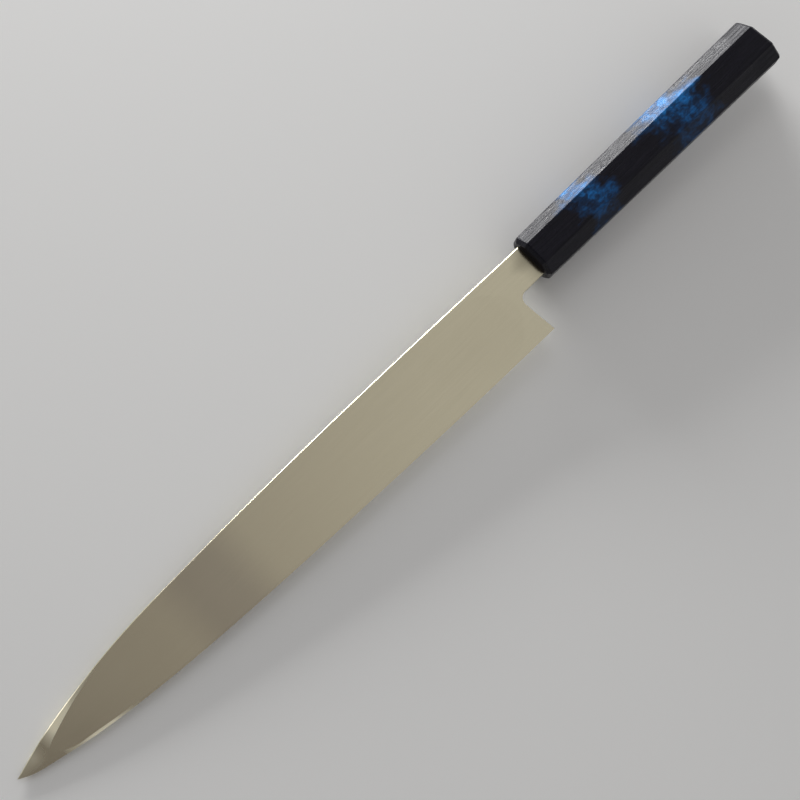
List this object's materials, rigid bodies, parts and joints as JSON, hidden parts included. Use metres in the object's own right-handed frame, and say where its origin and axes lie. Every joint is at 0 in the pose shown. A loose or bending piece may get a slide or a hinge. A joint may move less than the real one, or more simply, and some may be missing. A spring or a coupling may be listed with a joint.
{
  "type": "yanagiba knife",
  "caption": "Long single-bevel slicing knife with a hollow-ground back, forge-welded hard and soft metal, and an octagonal wooden handle on a hidden tang.",
  "frame": {"origin": "middle of the knife's bounding box in X and Y, on the ground plane under the handle's lowest point", "axes": "+X along the knife from the point to the butt, +Y from the cutting edge to the spine, +Z out of the hollow-ground back, which faces up"},
  "size_m": [0.462, 0.041, 0.0212],
  "materials": {
    "hard_steel": "fine satin, ground and polished lengthwise",
    "soft_iron": "soft satin with a hazy bevel",
    "handle_wood": "dark stabilised burl with blue patches, polished",
    "bedding": "set resin",
    "seal": "dark sealing wax, smoothed flush"
  },
  "bodies": {
    "root": {"hard_steel_layer": "hard_steel", "soft_iron_body": "soft_iron", "handle": "handle_wood", "tang_bedding": "bedding", "mouth_seal": "seal"}
  },
  "joints": []
}
